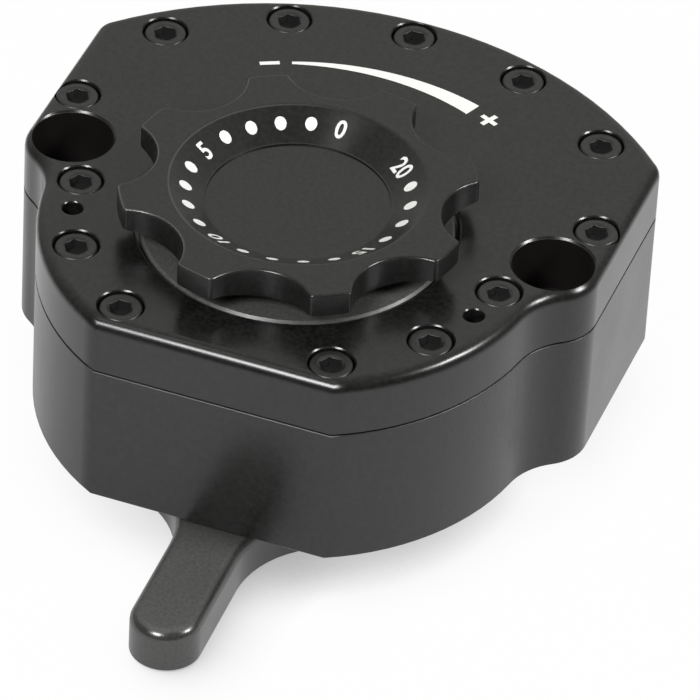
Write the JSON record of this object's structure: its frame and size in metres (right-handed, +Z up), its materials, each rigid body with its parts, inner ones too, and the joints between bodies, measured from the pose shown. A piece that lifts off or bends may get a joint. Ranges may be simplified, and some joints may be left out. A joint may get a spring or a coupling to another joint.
{
  "type": "rotary steering damper",
  "caption": "Rotary motorcycle steering damper: black body with two bolt ears, a scalloped adjuster knob with a dial on top and a link arm that swings below.",
  "frame": {"origin": "midway between the two mounting bolts, on the bottom face of the housing", "axes": "+Z up out of the knob's face, +Y to the curved back, +X to the right ear as seen from the arm's end"},
  "size_m": [0.101, 0.126, 0.0538],
  "materials": {
    "housing_black": "satin black anodised",
    "cover_black": "satin black anodised",
    "knob_black": "satin black anodised",
    "arm_black": "satin black anodised",
    "gland_grey": "turned and black anodised",
    "screw_black": "black oxide",
    "ground_steel": "ground",
    "bronze": "sintered bronze, oiled",
    "seal_rubber": "moulded nitrile"
  },
  "bodies": {
    "housing": {"base_housing": "housing_black", "top_cover": "cover_black", "cover_seal": "seal_rubber", "cover_screws": "screw_black", "dowel_pins": "ground_steel", "upper_bush": "bronze", "lower_bush": "bronze", "upper_thrust_washer": "bronze", "lower_thrust_washer": "bronze", "shaft_lip_seal": "seal_rubber", "hub_seal": "seal_rubber", "fill_plug": "screw_black", "fill_plug_seal": "seal_rubber", "valve_gland": "gland_grey", "gland_oring": "seal_rubber", "detent_spring": "ground_steel"},
    "rotor": {"vane_shaft": "ground_steel", "vane_seal": "seal_rubber", "link_arm": "arm_black", "arm_washer": "ground_steel", "arm_bolt": "screw_black"},
    "knob": {"adjuster_knob": "knob_black", "knob_grub_screw": "screw_black", "valve_spool": "ground_steel", "spool_orings": "seal_rubber"},
    "click_ball": {"detent_ball": "ground_steel"}
  },
  "joints": [
    {"name": "arm_swing", "type": "hinge", "parent": "housing", "child": "rotor", "pos_m": [0, -0.0065, 0], "axis": [0, 0, 1], "range_deg": [-46.3, 43.7]},
    {"name": "knob_turn", "type": "hinge", "parent": "housing", "child": "knob", "pos_m": [0, -0.0065, 0.0405], "axis": [0, 0, -1], "range_deg": [0, 315]},
    {"name": "click_rise", "type": "slide", "parent": "housing", "child": "click_ball", "axis": [0, 0, 1], "range_m": [0, 0.0002], "stiffness_N_per_m": 300, "deforming": ["detent_spring"]}
  ]
}
